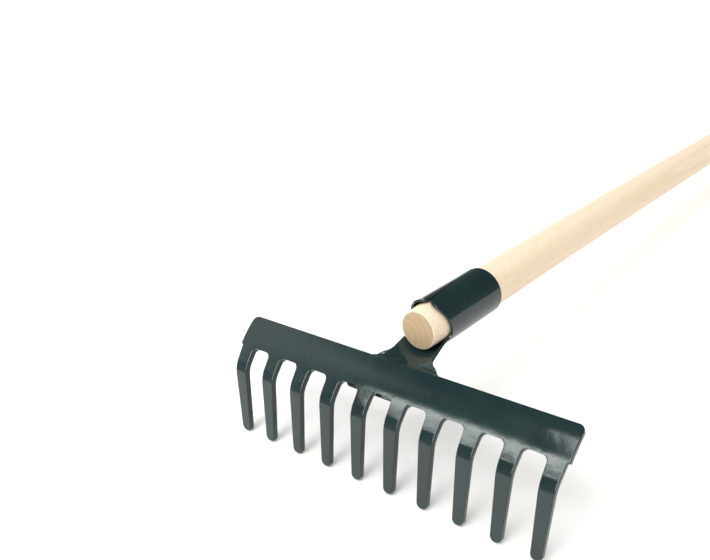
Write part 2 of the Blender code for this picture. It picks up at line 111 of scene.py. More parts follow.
class SocketSizes(bpy.types.PropertyGroup):
    sheet: size("Sheet", "Thickness of the steel", 0.0015)
    tube_radius: size("Tube radius", "Inside radius of the tube", 0.0144)
    tube_y: size("Tube Y", "Place of the tube's lower end", 0.048)
    tube_length: size("Tube length", "Length along the underside", 0.0607)
    mouth_drop: size("Mouth drop", "How much lower the mouth is at the seam", 0.0025)
    mouth_corner: size("Mouth corner", "Rounding of the seam's upper end", 0.001)
    rim_rise: size("Rim rise", "Height of the rim at the neck", 0.0045)
    rim_drop: size("Rim drop", "Depth of the rim at the flaps", 0.001)
    rim_angle: slope("Rim angle", "From the underside to the rim's low point", 150)
    rim_fillet: size("Rim fillet", "Rounding between neck and rim", 0.003)
    rim_corner: size("Rim corner", "Rounding at the rim's low point", 0.006)
    seam_low: slope("Seam low", "From the underside to the seam's lower end", 173)
    seam_top: slope("Seam top", "From the underside to the seam's upper end", 200)
    seam_gap: size("Seam gap", "Between the two flaps", 0.0006)
    right_corner: slope("Right corner", "Rounding of the right flap's corner, as a turn round the tube", 18)
    left_corner: slope("Left corner", "Rounding of the left flap's corner, as a turn round the tube", 20)
    neck: size("Neck half width", "Middle to the neck's edge", 0.0157)
    neck_fillet: size("Neck fillet", "Rounding between shoulder and neck", 0.007)
    knee: size("Knee", "Length of the bend from neck to tube", 0.004)
    trough: size("Trough start", "From the flange's bend to the trough", 0.0055)
    roll_power: FloatProperty(name="Roll", description="How soon the trough closes in", default=0.65)
    bend_radius: size("Bend radius", "Radius of the flange's bend", 0.008)
    bend_below: size("Bend place", "From the plate's edge to the bend", 0.0042)
    flange: size("Flange half width", "Middle to the flange's edge", 0.0316)
    shoulder_slope: slope("Shoulder slope", "Slope of the flange's shoulders", 30)
    shoulder_corner: size("Shoulder corner", "Rounding of the shoulders", 0.002)
    flange_drop: size("Flange drop", "Flange below the plate's low edge", 0.0018)
    flange_corner: size("Flange corner", "Rounding of the flange's low corners", 0.003)
    corner_cut: size("Corner cut", "Flange's cut corner on the right", 0.0155)
    edge_radius: size("Edge radius", "Rounding of the painted edges", 0.0004)


class HandleSizes(bpy.types.PropertyGroup):
    length: size("Length", "Length along the handle", 1.5)
    radius: size("Radius", "Radius above the taper", 0.0141)
    foot_radius: size("Foot radius", "Radius at the lower end", 0.0125)
    foot_y: size("Foot Y", "Place of the lower end", 0.037)
    foot_chamfer: size("Foot chamfer", "Chamfer of the lower end", 0.0008)
    taper: size("Taper", "Length of the tapered lower end", 0.031)
    end_radius: size("End rounding", "Rounding of the upper end", 0.009)
    straight_y: size("Straight to", "The handle bows above this", 0.1087)
    bow: size("Bow", "How far the upper end stands to the right", 0.032)
    sides: IntProperty(name="Sides", description="Sides of the round", default=64, min=16)


class FasteningSizes(bpy.types.PropertyGroup):
    screw_y: size("Screw Y", "Place of the screw", 0.080)
    seat_z: size("Seat height", "Face under the screw's head", -0.0162)
    shank_radius: size("Shank radius", "Radius of the shank", 0.0019)
    screw_length: size("Screw length", "From the seat to the point", 0.011)
    point_length: size("Point length", "Length of the point", 0.004)
    head_radius: size("Head radius", "Radius of the head", 0.0038)
    head_height: size("Head height", "Height of the domed head", 0.0022)
    slot: size("Slot", "Width and depth of the slot", 0.001)
    clearance: size("Clearance", "Fit between pieces that touch", 0.0003)
    weld_radius: size("Weld radius", "Radius of a weld bead", 0.0016)
    weld_inset: size("Weld inset", "From the plate's edges to a bead", 0.002)
    ripple: size("Ripple", "From one ripple of the weld to the next", 0.0013)


class RakeColours(bpy.types.PropertyGroup):
    enamel: colour("Enamel", "Green enamel", "18292a")
    enamel_thin: colour("Thin enamel", "Enamel where it is thin", "1d3534")
    wood: colour("Wood", "Pale wood between the growth rings", "ecd9c0")
    wood_dark: colour("Late wood", "Growth rings and fibres", "dcc4a4")
    end_grain: colour("End grain", "Growth rings and pores of the sawn end", "a68a63")
    end_pale: colour("Pale end grain", "Sawn end between the rings", "bea583")
    zinc: colour("Zinc", "Zinc plating", "c4c6c4")
    floor: colour("Floor", "Studio floor", "f3f2ef")


class StageSizes(bpy.types.PropertyGroup):
    floor_side: size("Floor", "Side of the floor", 30)
    lens: FloatProperty(name="Lens", description="Focal length of the camera", default=34.335, unit="CAMERA")
    shift: FloatVectorProperty(name="Shift", description="Shift of the lens", default=(-0.14902, 0.24607), size=2)
    power: FloatProperty(name="Power", description="Strength of all lights", default=1)


def settings():
    return bpy.context.scene.garden_rake


def linear(name):
    """The sRGB hex colour of that name in the settings, as a linear RGBA colour."""
    code = getattr(settings().colours, name)
    shares = [int(code[i:i + 2], 16) / 255 for i in (0, 2, 4)]
    return [s / 12.92 if s <= 0.04045 else ((s + 0.055) / 1.055) ** 2.4 for s in shares] + [1]


def add_node(tree, kind, values=None, links=None, **options):
    """A shader node with its options, socket values and links, each from a socket or from a node's first output."""
    node = tree.nodes.new("ShaderNode" + kind)
    for name, value in options.items():
        setattr(node, name, value)
    for name, value in dict(values or {}).items():
        node.inputs[name].default_value = value
    for name, source in (links or {}).items():
        if isinstance(source, bpy.types.Node):
            source = next(socket for socket in source.outputs if socket.enabled)
        tree.links.new(source, node.inputs[name])
    return node


def material(build):
    """Turns a function that builds a shader in a node tree into one that gives the material of its name."""

    def make():
        name = build.__name__
        if name not in bpy.data.materials:
            made = bpy.data.materials.new(name)
            made.use_nodes = True
            made.node_tree.nodes.clear()
            add_node(made.node_tree, "OutputMaterial", links={"Surface": build(made.node_tree)})
        return bpy.data.materials[name]

    return make


def deselect():
    if bpy.context.object and bpy.context.object.mode != "OBJECT":
        bpy.ops.object.mode_set(mode="OBJECT")
    bpy.ops.object.select_all(action="DESELECT")


def activate(piece):
    """Makes a piece the active one and the only one selected."""
    deselect()
    bpy.context.view_layer.objects.active = piece
    piece.select_set(True)


def select_all():
    """Selects everything in the piece in edit mode."""
    bpy.ops.mesh.select_mode(type="VERT")
    bpy.ops.mesh.select_all(action="SELECT")


def edit(piece):
    """Opens a piece in edit mode with everything in it selected."""
    activate(piece)
    bpy.ops.object.mode_set(mode="EDIT")
    select_all()


def done(piece):
    bpy.ops.object.mode_set(mode="OBJECT")
    return piece


def close(piece):
    """Turns a piece's faces outwards and leaves edit mode."""
    select_all()
    bpy.ops.mesh.normals_make_consistent(inside=False)
    done(piece)


def pick(piece, kind, test):
    """Selects the vertices, edges or faces of a piece in edit mode whose middles pass the test."""
    bpy.ops.mesh.select_mode(type=kind)
    bpy.ops.mesh.select_all(action="DESELECT")
    shape = bmesh.from_edit_mesh(piece.data)
    found = 0
    for part in {"VERT": shape.verts, "EDGE": shape.edges, "FACE": shape.faces}[kind]:
        corners = [part] if kind == "VERT" else part.verts
        if test(sum((corner.co for corner in corners), Vector()) / len(corners)):
            part.select_set(True)
            found += 1
    shape.select_flush_mode()
    bmesh.update_edit_mesh(piece.data)
    if not found:
        raise RuntimeError(f"nothing of {piece.name} was picked")


def turn(angle, axis, centre):
    """Turns what is selected; with no window the operator turns the other way, so the angle is given negative."""
    bpy.ops.transform.rotate(value=-angle, orient_axis=axis, orient_type="GLOBAL", center_override=centre)


def move(x, y, z):
    bpy.ops.transform.translate(value=(x, y, z), orient_type="GLOBAL")


def resize(x, y, z, centre):
    bpy.ops.transform.resize(value=(x, y, z), orient_type="GLOBAL", center_override=centre)


def extrude(x, y, z):
    bpy.ops.mesh.extrude_region_move(TRANSFORM_OT_translate={"value": (x, y, z)})


def disc(name, sides, radius, place, rotation=(0, 0, 0)):
    """A flat round face, open in edit mode, from which a round piece is pulled out."""
    deselect()
    bpy.ops.mesh.primitive_circle_add(
        vertices=sides, radius=radius, fill_type="NGON", location=place, rotation=rotation)
    piece = bpy.context.object
    piece.name = name
    bpy.ops.object.transform_apply(location=True, rotation=True, scale=True)
    edit(piece)
    return piece


def apply_modifiers(piece):
    activate(piece)
    for modifier in [m.name for m in piece.modifiers]:
        bpy.ops.object.modifier_apply(modifier=modifier)


def cut_out(piece, name, tool):
    """Cuts the shape of a tool out of a piece and removes the tool."""
    cut = piece.modifiers.new(name, "BOOLEAN")
    cut.operation = "DIFFERENCE"
    cut.object = tool
    apply_modifiers(piece)
    bpy.data.objects.remove(tool, do_unlink=True)


def drill(piece, name, sides, depth):
    """The fixing screw's hole in a piece, that deep to both sides of the face under the screw's head."""
    screw = settings().fastenings
    deselect()
    bpy.ops.mesh.primitive_cylinder_add(
        vertices=sides, radius=screw.shank_radius + screw.clearance, depth=2 * depth,
        location=(0, screw.screw_y, screw.seat_z))
    cut_out(piece, name, bpy.context.object)


def thicken(piece, sizes):
    """Gives a sheet its thickness and rounds its edges, as paint does; its normals keep the wide faces flat."""
    solid = piece.modifiers.new("sheet", "SOLIDIFY")
    solid.thickness = sizes.sheet
    solid.offset = -1
    solid.use_even_offset = True
    edges = piece.modifiers.new("painted_edges", "BEVEL")
    edges.width = sizes.edge_radius
    edges.segments = 3
    edges.limit_method = "ANGLE"
    edges.angle_limit = radians(50)
    edges.use_clamp_overlap = False
    apply_modifiers(piece)
    bpy.ops.object.shade_smooth()
    weighted = piece.modifiers.new("weighted_normals", "WEIGHTED_NORMAL")
    weighted.mode = "FACE_AREA"
    weighted.weight = 60
    apply_modifiers(piece)


def smooth(piece, degrees):
    """Smooth shading, apart from the edges that turn by more than the angle."""
    activate(piece)
    bpy.ops.object.shade_smooth_by_angle(angle=radians(degrees))


def lay_down(piece):
    """Turns a finished piece from the handle's own axes to the way the rake lies on the floor."""
    edit(piece)
    turn(LYING_TURN, "X", (0, 0, 0))
    move(*LYING_PLACE)
    done(piece)


def finish(piece, node, materials):
    """Dresses a finished piece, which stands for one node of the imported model."""
    piece.data.materials.clear()
    for coat in materials:
        piece.data.materials.append(coat)
    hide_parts(node)
    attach(piece, "root")
    deselect()


def plate_curve():
    """The curve of the plate's front face: its radius, and its centre as Y and Z."""
    bar = settings().tine_bar
    radius = bar.plate_depth / (bar.low_slope - bar.top_slope)
    return radius, Vector((bar.top_y + radius * sin(bar.top_slope), bar.top_z - radius * cos(bar.top_slope)))


def along_handle(tree):
    """Object coordinates turned back to the handle's own axes, so grain runs along Y."""
    back = Matrix.Rotation(-LYING_TURN, 3, "X")
    return add_node(
        tree, "Mapping", {"Location": -(back @ LYING_PLACE), "Rotation": (-LYING_TURN, 0, 0)},
        {"Vector": add_node(tree, "TexCoord").outputs["Object"]})


@material
def sprayed_green_enamel(tree):
    """Gloss enamel sprayed on stamped steel: a deep green film whose slight orange peel and runs bend reflections."""
    place = add_node(tree, "TexCoord").outputs["Object"]
    # Clouds 30 mm across, where the film is a little thinner and greyer
    clouds = add_node(tree, "TexNoise", {"Scale": 33, "Detail": 3, "Roughness": 0.55}, {"Vector": place})
    tint = add_node(tree, "MapRange", zip(RANGE, (0.4, 0.75, 0, 0.6)), {"Value": clouds})
    mix = add_node(
        tree, "Mix", {"A": linear("enamel"), "B": linear("enamel_thin")}, {"Factor": tint}, data_type="RGBA")
    # Orange peel 1.2 mm across and waves of 12 mm left by stamping and by runs of paint
    peel = add_node(tree, "TexNoise", {"Scale": 830, "Detail": 1}, {"Vector": place})
    waves = add_node(tree, "TexNoise", {"Scale": 83, "Detail": 2}, {"Vector": place})
    wave_bump = add_node(tree, "Bump", {"Strength": 0.2, "Distance": 0.0006}, {"Height": waves})
    bump = add_node(tree, "Bump", {"Strength": 0.12, "Distance": 0.0001}, {"Height": peel, "Normal": wave_bump})
    sheen = add_node(tree, "MapRange", zip(RANGE, (0.3, 0.7, 0.1, 0.16)), {"Value": clouds})
    return add_node(
        tree, "BsdfPrincipled", {"IOR": 1.55}, {"Base Color": mix, "Roughness": sheen, "Normal": bump})


def beech(tree, pale, dark, shares, grain, relief, roughness):
    """Bare beech, darkened by the sum of shares that are read from its patterns, with a fine relief of its grain."""
    total, *others = [
        add_node(tree, "MapRange", zip(RANGE, limits), {"Value": source}) for source, limits in shares]
    for share in others:
        total = add_node(tree, "Math", links={0: total, 1: share}, operation="ADD", use_clamp=True)
    mix = add_node(tree, "Mix", {"A": linear(pale), "B": linear(dark)}, {"Factor": total}, data_type="RGBA")
    bump = add_node(tree, "Bump", {"Strength": relief, "Distance": 0.0001}, {"Height": grain})
    return add_node(
        tree, "BsdfPrincipled", {"IOR": 1.5, "Roughness": roughness}, {"Base Color": mix, "Normal": bump})


@material
def turned_beech(tree):
    """Beech turned and sanded, left bare: pale, with faint rings drawn out along the handle and short dark flecks."""
    place = along_handle(tree)
    # Growth rings 5 mm apart round a heart outside the pole, so they cross it as long stripes
    heart = add_node(tree, "Mapping", {"Location": (0.05, 0, 0.03), "Scale": (1, 0.06, 1)}, {"Vector": place})
    rings = add_node(tree, "TexWave", {
        "Scale": 64, "Distortion": 2.2, "Detail": 2, "Detail Scale": 0.7, "Detail Roughness": 0.6},
        {"Vector": heart}, wave_type="RINGS", rings_direction="Y", wave_profile="SAW")
    # Fibres 0.4 mm wide and 20 mm long, as coarse as they need to be to show
    drawn = add_node(tree, "Mapping", {"Scale": (1, 0.02, 1)}, {"Vector": place})
    fibres = add_node(tree, "TexNoise", {"Scale": 2400, "Detail": 2}, {"Vector": drawn})
    # Ray flecks 0.7 mm wide and 4 mm long
    fleck_place = add_node(tree, "Mapping", {"Scale": (1, 0.16, 1)}, {"Vector": place})
    flecks = add_node(tree, "TexNoise", {"Scale": 1500, "Detail": 0}, {"Vector": fleck_place})
    return beech(tree, "wood", "wood_dark", (
        (rings.outputs["Fac"], (0, 1, 0, 0.35)),
        (fibres, (0.4, 0.7, 0, 0.4)),
        (flecks, (0.66, 0.74, 0, 0.35)),
    ), fibres, 0.25, 0.62)


@material
def sawn_beech_end(tree):
    """Beech sawn across: the rings show as arcs, and the cut fibres drink in light and look darker."""
    place = along_handle(tree)
    # Growth rings 5 mm apart
    heart = add_node(tree, "Mapping", {"Location": (0.011, 0, 0.006)}, {"Vector": place})
    rings = add_node(
        tree, "TexWave", {"Scale": 64, "Distortion": 1.2, "Detail": 2, "Detail Scale": 1}, {"Vector": heart},
        wave_type="RINGS", rings_direction="Y", wave_profile="SAW")
    # Pores 0.6 mm across, as coarse as they need to be to show
    pores = add_node(tree, "TexNoise", {"Scale": 1800, "Detail": 2}, {"Vector": place})
    return beech(tree, "end_pale", "end_grain", (
        (rings.outputs["Fac"], (0, 1, 0, 0.45)),
        (pores, (0.45, 0.7, 0, 0.4)),
    ), pores, 0.3, 0.75)


@material
def zinc_plated_steel(tree):
    """Turned steel, bright zinc plated: grey metal with a satin grain and dull spots."""
    place = add_node(tree, "TexCoord").outputs["Object"]
    # Dull spots 1 mm across
    spots = add_node(tree, "TexNoise", {"Scale": 1000, "Detail": 3}, {"Vector": place})
    rough = add_node(tree, "MapRange", zip(RANGE, (0.3, 0.7, 0.25, 0.45)), {"Value": spots})
    bump = add_node(tree, "Bump", {"Strength": 0.1, "Distance": 0.0001}, {"Height": spots})
    return add_node(
        tree, "BsdfPrincipled", {"Base Color": linear("zinc"), "Metallic": 1}, {"Roughness": rough, "Normal": bump})


@material
def studio_floor_paint(tree):
    """Matt emulsion on a smooth studio floor: almost white, with the roller's faint mottle."""
    place = add_node(tree, "TexCoord").outputs["Object"]
    # Roller mottle 8 mm across
    mottle = add_node(tree, "TexNoise", {"Scale": 125, "Detail": 2}, {"Vector": place})
    bump = add_node(tree, "Bump", {"Strength": 0.05, "Distance": 0.0002}, {"Height": mottle})
    return add_node(
        tree, "BsdfPrincipled", {"Base Color": linear("floor"), "Roughness": 0.8}, {"Normal": bump})


def bend_lines(start, length, low, high, steps):
    """(Place, angle) of an even curve's bend lines; the first and the last turn the sheet by half a step."""
    step = (high - low) / steps
    turns = [step / 2] + [step] * (steps - 1) + [step / 2]
    return [(start + length * i / steps, angle) for i, angle in enumerate(turns)]


class RAKE_OT_tine_bar(bpy.types.Operator):
    """Stamp the tine bar from a flat sheet, bend its plate and tines, and round its painted edges"""

    bl_idname = "rake.tine_bar"
    bl_label = "Tine Bar"

    # How many lines the plate and the tines are bent along
    PLATE_LINES = 8
    TINE_LINES = 14

    def execute(self, context):
        sizes = settings().tine_bar
        bend = sizes.bend_radius * (sizes.tine_slope - sizes.low_slope)
        reach = sizes.root_length + bend + sizes.straight
        bar = self.stamp(sizes, reach)
        self.round_corners(bar, sizes, reach)
        self.press(bar, sizes, bend)
        thicken(bar, sizes)
        lay_down(bar)
        finish(bar, "tine_bar", [sprayed_green_enamel()])
        return {"FINISHED"}

    def stamp(self, sizes, reach):
        """One tine with its share of the plate, repeated along the bar, all in one flat sheet."""
        deselect()
        bpy.ops.mesh.primitive_plane_add(size=1, location=(0, 0, 0))
        bar = bpy.context.object
        bar.name = "stamped_tine_bar"
        half_root = sizes.root_width / 2
        last_tine = sizes.pitch * (sizes.tines - 1) / 2
        edit(bar)
        resize(sizes.pitch, sizes.plate_depth, 1, (0, 0, 0))
        move(0, -sizes.plate_depth / 2, 0)
        for x in (-half_root, half_root):
            select_all()
            bpy.ops.mesh.bisect(plane_co=(x, 0, 0), plane_no=(1, 0, 0))
        pick(bar, "EDGE", lambda p: abs(p.x) < TOUCH and abs(p.y + sizes.plate_depth) < TOUCH)
        extrude(0, -reach, 0)
        resize(sizes.tip_width / sizes.root_width, 1, 1, (0, -sizes.plate_depth - reach, 0))
        select_all()
        move(-last_tine, 0, 0)
        for _ in range(sizes.tines - 1):
            bpy.ops.mesh.duplicate_move(TRANSFORM_OT_translate={"value": (sizes.pitch, 0, 0)})
        end = last_tine + half_root + sizes.overhang
        for side in (-1, 1):
            select_all()
            bpy.ops.mesh.bisect(plane_co=(side * end, 0, 0), plane_no=(side, 0, 0), clear_outer=True)
        select_all()
        bpy.ops.mesh.remove_doubles(threshold=MERGE_DISTANCE)
        bpy.ops.mesh.dissolve_limited(angle_limit=radians(0.1))
        low = -sizes.plate_depth - reach / 2
        pick(bar, "VERT", lambda p: p.y < low and abs(p.x + last_tine) < sizes.pitch / 2)
        move(sizes.lean, 0, 0)
        return done(bar)

    def round_corners(self, bar, sizes, reach):
        """Rounds the tips, the tops of the gaps and the plate's corners."""
        end = sizes.pitch * (sizes.tines - 1) / 2 + sizes.root_width / 2 + sizes.overhang
        outer_root = end - sizes.overhang
        low = -sizes.plate_depth

        def at_gap(p):
            return abs(p.y - low) < TOUCH

        edit(bar)
        for radius, segments, test in (
            (sizes.tip_radius, 6, lambda p: p.y < low - reach + TOUCH),
            (sizes.gap_radius, 6, lambda p: at_gap(p) and abs(p.x) < outer_root - TOUCH),
            (sizes.end_radius, 3, lambda p: at_gap(p) and abs(abs(p.x) - outer_root) < TOUCH),
            (sizes.low_radius, 3, lambda p: at_gap(p) and abs(p.x) > end - TOUCH),
            (sizes.top_radius, 6, lambda p: p.y > -TOUCH and abs(p.x) > end - TOUCH),
        ):
            pick(bar, "VERT", test)
            bpy.ops.mesh.bevel(offset=radius, offset_type="OFFSET", affect="VERTICES", segments=segments, profile=0.5)
        done(bar)

    def press(self, bar, sizes, bend):
        """Bends the sheet line by line, from the tips back to the top edge, and sets it in its place."""
        bend_start = sizes.plate_depth + sizes.root_length
        lines = bend_lines(0, sizes.plate_depth, sizes.top_slope, sizes.low_slope, self.PLATE_LINES)
        lines += bend_lines(bend_start, bend, sizes.low_slope, sizes.tine_slope, self.TINE_LINES)
        edit(bar)
        for length, angle in reversed(lines[1:]):
            select_all()
            bpy.ops.mesh.bisect(plane_co=(0, -length, 0), plane_no=(0, 1, 0))
            pick(bar, "VERT", lambda p: p.y < -length - TOUCH / 2)
            turn(angle, "X", (0, -length, 0))
        select_all()
        turn(sizes.top_slope + lines[0][1], "X", (0, 0, 0))
        move(0, sizes.top_y, sizes.top_z)
        done(bar)


def along(profile, length):
    """The Y, Z and slope of the sheet's middle line that far from the flange's lower edge."""
    (y, z), heading, runs = profile
    for i, (run, end_slope) in enumerate(runs):
        part = length if i == len(runs) - 1 else min(run, length)
        bent = (end_slope - heading) * part / run
        chord = part * (sin(bent / 2) / (bent / 2) if abs(bent) > 1e-6 else 1)
        y += chord * cos(heading + bent / 2)
        z += chord * sin(heading + bent / 2)
        heading += bent
        length -= part
        if length <= 0:
            break
    return y, z, heading


def arc(before, corner, after, radius):
    """The points that round a corner of the blank."""
    corner = Vector(corner)
    back = (Vector(before) - corner).normalized()
    ahead = (Vector(after) - corner).normalized()
    bend = pi - back.angle(ahead)
    start = corner + back * radius * tan(bend / 2)
    middle = corner + (back + ahead).normalized() * (radius / cos(bend / 2))
    side = 1 if back.x * ahead.y - back.y * ahead.x < 0 else -1
    return [
        middle + Matrix.Rotation(side * bend * i / ARC_STEPS, 2) @ (start - middle)
        for i in range(ARC_STEPS + 1)]


def walk(chain, share):
    """The point at that share of a chain's length."""
    lengths = [(b - a).length for a, b in zip(chain, chain[1:])]
    left = sum(lengths) * share
    for a, b, length in zip(chain, chain[1:], lengths):
        if left <= length:
            return a.lerp(b, left / length) if length else a
        left -= length
    return chain[-1]


def grid(columns, rows, place):
    """A grid whose points, counted from 0 to 1 both ways, are pulled to their place in the flat blank."""
    deselect()
    bpy.ops.mesh.primitive_grid_add(x_subdivisions=columns, y_subdivisions=rows, size=1, location=(0, 0, 0))
    made = bpy.context.object
    for vertex in made.data.vertices:
        vertex.co = (*place(vertex.co.x + 0.5, vertex.co.y + 0.5), 0)
    return made


class RAKE_OT_socket(bpy.types.Operator):
    """Cut the socket's blank from thin sheet, bend its flange, roll its flaps into a tube and round its edges"""

    bl_idname = "rake.socket"
    bl_label = "Socket"

    # Columns and rows of the blank's grids
    BODY_GRID = (36, 64)
    FLOOR_GRID = (36, 44)
    FLAP_GRID = (40, 44)
    # The screw hole's sides, and its depth to both sides of the tube's outside
    HOLE_SIDES = 32
    HOLE_DEPTH = 0.004

    def execute(self, context):
        sizes = settings().socket
        profile = self.profile(sizes)
        runs = [run for run, _ in profile[2]]
        edge = sum(runs[:2]) + sizes.bend_below
        trough = sum(runs[:3]) + sizes.trough
        low_rim = sum(runs[:4]) + sizes.knee / 2
        mouth = sum(runs)
        left, right = self.sides(sizes, edge, low_rim, mouth)
        socket = self.blank(left, right, mouth)
        self.roll(socket, sizes, profile, trough, low_rim)
        thicken(socket, sizes)
        drill(socket, "screw_hole", self.HOLE_SIDES, self.HOLE_DEPTH)
        lay_down(socket)
        finish(socket, "socket", [sprayed_green_enamel()])
        return {"FINISHED"}

    def profile(self, sizes):
        """The sheet's middle line seen from the side: its start, its slope there, and (length, end slope) runs."""
        bar = settings().tine_bar
        front_radius, centre = plate_curve()
        back_radius = front_radius - bar.sheet - settings().fastenings.clearance
        bend_slope = bar.top_slope + sizes.bend_below / back_radius
        arm = back_radius - sizes.bend_radius
        away = Vector((sizes.tube_y, -sizes.tube_radius)) - centre - arm * Vector((-sin(bend_slope), cos(bend_slope)))
        straight = (away.length_squared - sizes.bend_radius ** 2) ** 0.5
        neck_slope = atan2(away.y, away.x) - atan2(sizes.bend_radius, straight)
        low = bar.low_slope
        start = centre + back_radius * Vector((-sin(low), cos(low))) - sizes.flange_drop * Vector((cos(low), sin(low)))
        runs = [
            (sizes.flange_drop, low),
            (back_radius * (low - bend_slope), bend_slope),
            (sizes.bend_radius * (bend_slope - neck_slope), neck_slope),
            (straight - sizes.knee / 2, neck_slope),
            (sizes.knee, 0),
            (sizes.tube_length - sizes.knee / 2, 0),
        ]
        return start, low, runs

    def sides(self, sizes, edge, low_rim, mouth):
        """Each side of the blank as chains of points, all at positive X: body, rim, seam and mouth."""
        made = []
        round_trip = 2 * pi * sizes.tube_radius
        neck_top = (sizes.neck, low_rim + sizes.rim_rise)
        shoulder = (sizes.neck, edge + (sizes.flange - sizes.neck) * tan(sizes.shoulder_slope))
        rim = low_rim - sizes.rim_drop
        for side in (-1, 1):
            seam_low = sizes.tube_radius * sizes.seam_low
            seam_top = sizes.tube_radius * sizes.seam_top
            cut, corner = sizes.corner_cut, sizes.right_corner
            if side < 0:
                seam_low = round_trip - seam_low - sizes.seam_gap
                seam_top = round_trip - seam_top - sizes.seam_gap
                cut, corner = 0, sizes.left_corner
            low, top = (seam_low, rim), (seam_top, mouth - sizes.mouth_drop)
            dip = (sizes.tube_radius * sizes.rim_angle, rim)
            flange_low, flange_top = (sizes.flange, cut), (sizes.flange, edge)
            body = arc((0, 0), (sizes.flange - cut, 0), flange_low if cut else flange_top, sizes.flange_corner)
            if cut:
                body += arc((sizes.flange - cut, 0), flange_low, flange_top, sizes.flange_corner)
            body += arc(flange_low, flange_top, shoulder, sizes.shoulder_corner)
            body += arc(flange_top, shoulder, neck_top, sizes.neck_fillet)
            fillet = arc(shoulder, neck_top, dip, sizes.rim_fillet)
            flap = arc(dip, low, top, sizes.tube_radius * corner)
            tip = arc(low, top, (0, mouth), sizes.mouth_corner)
            rim_line = fillet[MIDDLE:] + arc(neck_top, dip, low, sizes.rim_corner) + flap[:MIDDLE + 1]
            made.append((body + fillet[:MIDDLE + 1], rim_line, flap[MIDDLE:] + tip[:MIDDLE + 1], tip[MIDDLE:]))
        return made

    def blank(self, left, right, mouth):
        """The flat blank from four grids: the body up to the rim, the tube's floor and the two flaps."""
        half, start = right[1][0]

        def across(chain, y):
            for a, b in zip(chain, chain[1:]):
                if a.y <= y <= b.y and b.y > a.y:
                    return a.x + (b.x - a.x) * (y - a.y) / (b.y - a.y)
            return chain[0].x if y < chain[0].y else chain[-1].x

        def end_y(x):
            """The mouth's line: highest in the middle of the blank, lowest at its seam edges."""
            seam = (right if x > 0 else left)[-1][0]
            return mouth + (seam.y - mouth) * abs(x) / seam.x

        def body(u, v):
            y = start * v
            x_left, x_right = -across(left[0], y), across(right[0], y)
            return x_left + (x_right - x_left) * u, y

        def floor(u, v):
            x = half * (2 * u - 1)
            return x, start + (end_y(x) - start) * v

        def flap(u, v, chains, side):
            """A flap between its rim, its seam edge, its lip at the mouth and the tube's floor."""
            _, rim, seam, lip = chains
            inner = Vector((half, start + (end_y(side * half) - start) * v))
            top = [Vector((half, end_y(side * half)))] + lip[::-1]
            low, outer, high = walk(rim, u), walk(seam, v), walk(top, u)
            corners = (
                rim[0] * (1 - u) * (1 - v) + rim[-1] * u * (1 - v) + top[0] * (1 - u) * v + top[-1] * u * v)
            point = low * (1 - v) + high * v + inner * (1 - u) + outer * u - corners
            return side * point.x, point.y

        grids = [
            grid(*self.BODY_GRID, body),
            grid(*self.FLOOR_GRID, floor),
            grid(*self.FLAP_GRID, lambda u, v: flap(u, v, right, 1)),
            grid(*self.FLAP_GRID, lambda u, v: flap(1 - u, v, left, -1)),
        ]
        deselect()
        for made in grids:
            made.select_set(True)
        bpy.context.view_layer.objects.active = grids[0]
        bpy.ops.object.join()
        blank = bpy.context.object
        blank.name = "rolled_socket"
        edit(blank)
        bpy.ops.mesh.remove_doubles(threshold=TOUCH)
        return done(blank)

    def roll(self, socket, sizes, profile, trough, low_rim):
        """Bends the blank along its middle line and rolls it up from the trough to the round tube."""
        for vertex in socket.data.vertices:
            x, length, _ = vertex.co
            y, z, heading = along(profile, length)
            share = min(max((length - trough) / (low_rim - trough), 0), 1) ** sizes.roll_power
            rise = 0
            if share > 0:
                radius = sizes.tube_radius / share
                rise = radius * (1 - cos(x / radius))
                x = radius * sin(x / radius)
            vertex.co = (x, y - rise * sin(heading), z + rise * cos(heading))


